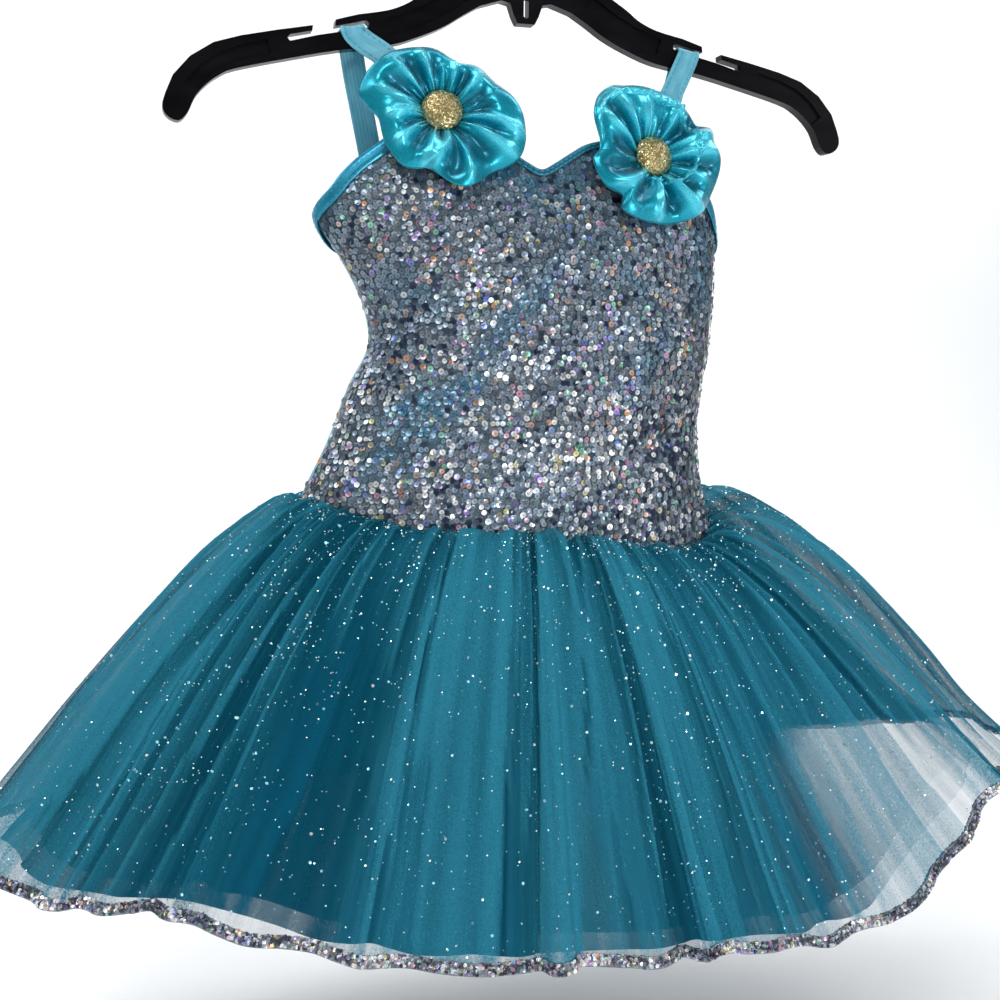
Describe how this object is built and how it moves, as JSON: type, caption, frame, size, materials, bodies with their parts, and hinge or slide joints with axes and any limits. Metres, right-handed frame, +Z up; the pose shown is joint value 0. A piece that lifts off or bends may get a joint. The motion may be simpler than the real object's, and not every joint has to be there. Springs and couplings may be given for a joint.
{
  "type": "dance leotard on hanger",
  "caption": "Child's dance leotard with sequinned bodice, satin rosettes on the straps and a gathered tulle skirt, hung on a notched hanger.",
  "frame": {"origin": "where the hanger's hook bears on its rail", "axes": "+Z up, -Y towards the front of the leotard, +X to the viewer's right"},
  "size_m": [0.5779, 0.2664, 0.5408],
  "materials": {
    "sequin_cloth": "silver holographic sequins on turquoise stretch cloth",
    "spandex": "plain stretch cloth with a soft shine",
    "satin": "glossy satin",
    "tulle": "sheer glitter tulle",
    "strap_satin": "satin elastic with stitch lines",
    "sequin_trim": "silver sequin trim",
    "gold_glitter": "gold glitter dome",
    "black_plastic": "glossy moulded plastic",
    "steel_wire": "bright wire"
  },
  "bodies": {
    "root": {"bodice_front": "sequin_cloth", "bodice_back": "spandex", "neck_binding": "satin", "armhole_binding_l": "satin", "armhole_binding_r": "satin", "back_binding": "satin", "brief_front": "spandex", "brief_back": "spandex", "skirt_outer": "tulle", "skirt_inner": "tulle", "hem_trim": "sequin_trim", "strap_l": "strap_satin", "strap_r": "strap_satin", "rosette_l": "satin", "rosette_r": "satin", "button_l": "gold_glitter", "button_r": "gold_glitter", "hanger": "black_plastic", "hook": "steel_wire"}
  },
  "joints": []
}
